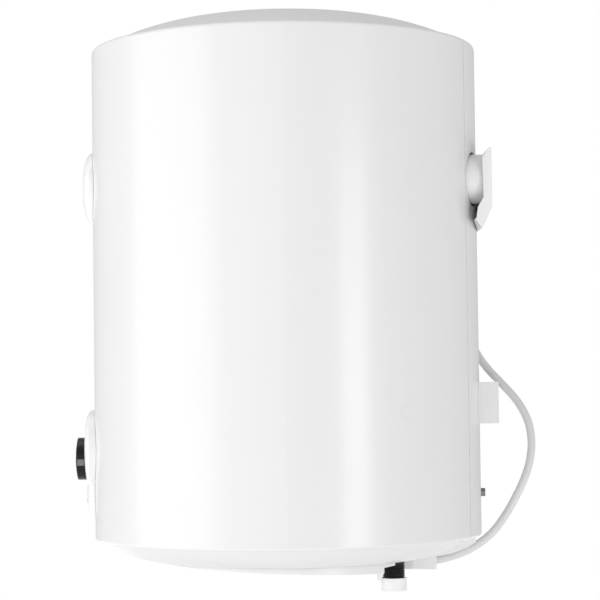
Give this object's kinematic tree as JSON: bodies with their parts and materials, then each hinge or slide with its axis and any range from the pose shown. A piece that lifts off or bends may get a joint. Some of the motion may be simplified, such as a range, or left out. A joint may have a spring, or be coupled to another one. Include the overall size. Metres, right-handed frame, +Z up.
{
  "type": "tank water heater",
  "caption": "Wall-hung electric storage water heater: a slim white round body with a front knob and gauge, rear hanger, two water connections below and a mains lead.",
  "frame": {"origin": "midway between the two hook slots, on the rear face of the hanger plate", "axes": "+Z up, +Y towards the wall, -Y is the front with the knob, +X is the side of the cold inlet"},
  "size_m": [0.365, 0.4377, 0.5395],
  "materials": {
    "jacket_paint": "gloss white powder-coated sheet steel",
    "cap_plastic": "satin-gloss moulded white plastic",
    "cover_plastic": "satin moulded white plastic",
    "bracket_paint": "white powder-coated pressed steel",
    "zinc_steel": "bright zinc-plated steel",
    "dark_screw": "dark phosphated steel",
    "enamel_steel": "blue vitreous enamel on steel",
    "foam": "rigid polyurethane foam",
    "black_rubber": "matt black rubber",
    "element_sheath": "copper-nickel sheath",
    "brass": "turned brass",
    "magnesium": "cast magnesium",
    "dark_plastic": "black moulded plastic",
    "copper": "drawn copper",
    "ivory_plastic": "ivory moulded plastic",
    "wire_sleeve": "silicone wire sleeve",
    "pipe_steel": "blackened threaded steel",
    "cap_white": "soft white polythene",
    "panel_plastic": "gloss moulded white plastic",
    "knob_plastic": "black moulded plastic",
    "lens_orange": "translucent orange lens",
    "dial_print": "printed dial",
    "gauge_case": "pressed aluminium",
    "clear_lens": "clear plastic window",
    "needle_red": "red painted pointer",
    "cord_sleeve": "light grey flexible sheath",
    "plug_plastic": "light grey moulded plug",
    "nickel": "nickel-plated brass"
  },
  "bodies": {
    "heater": {"jacket": "jacket_paint", "rear_panel": "jacket_paint", "top_cap": "cap_plastic", "bottom_cap": "cap_plastic", "service_cover": "cover_plastic", "service_cover_screws": "zinc_steel", "inner_tank": "enamel_steel", "insulation_foam": "foam", "foam_plug": "cover_plastic", "hanger_bracket": "bracket_paint", "wall_spacer": "cover_plastic", "rear_screw": "dark_screw", "flange_gasket": "black_rubber", "flange_plate": "zinc_steel", "flange_studs": "zinc_steel", "flange_nuts": "zinc_steel", "heating_element": "element_sheath", "element_bushes": "brass", "anode_rod": "magnesium", "anode_nut": "zinc_steel", "sensor_pocket": "brass", "thermostat_body": "dark_plastic", "thermostat_capillary": "copper", "thermostat_bulb": "copper", "safety_cutout": "dark_plastic", "terminal_block": "ivory_plastic", "mains_leads": "wire_sleeve", "internal_wiring": "wire_sleeve", "earth_stud": "zinc_steel", "cold_inlet_pipe": "pipe_steel", "hot_outlet_pipe": "pipe_steel", "inlet_diffuser": "ivory_plastic", "pipe_seals": "black_rubber", "control_panel": "panel_plastic", "indicator_lens": "lens_orange", "indicator_lamp": "ivory_plastic", "gauge_bezel": "panel_plastic", "gauge_body": "gauge_case", "gauge_dial": "dial_print", "gauge_lens": "clear_lens", "gauge_spindle": "zinc_steel", "gauge_probe": "copper", "cord_gland": "cord_sleeve", "power_cord": "cord_sleeve", "power_cord_coil": "cord_sleeve", "power_cord_tail": "cord_sleeve", "cord_tie": "dark_plastic", "plug_body": "plug_plastic", "plug_pins": "nickel"},
    "knob": {"control_knob": "knob_plastic", "knob_shaft": "zinc_steel"},
    "needle": {"gauge_needle": "needle_red"},
    "cold_cap": {"cold_pipe_cap": "cap_white"},
    "hot_cap": {"hot_pipe_cap": "cap_white"}
  },
  "joints": [
    {"name": "knob_turn", "type": "hinge", "parent": "heater", "child": "knob", "pos_m": [0, -0.3865, -0.257], "axis": [0, 1, 0], "range_deg": [-236.5, 33.5]},
    {"name": "needle_turn", "type": "hinge", "parent": "heater", "child": "needle", "pos_m": [0, -0.3795, 0], "axis": [0, 1, 0], "range_deg": [0, 270]},
    {"name": "cold_cap_slide", "type": "slide", "parent": "heater", "child": "cold_cap", "axis": [0, 0, -1], "range_m": [0, 0.05]},
    {"name": "hot_cap_slide", "type": "slide", "parent": "heater", "child": "hot_cap", "axis": [0, 0, -1], "range_m": [0, 0.05]}
  ]
}
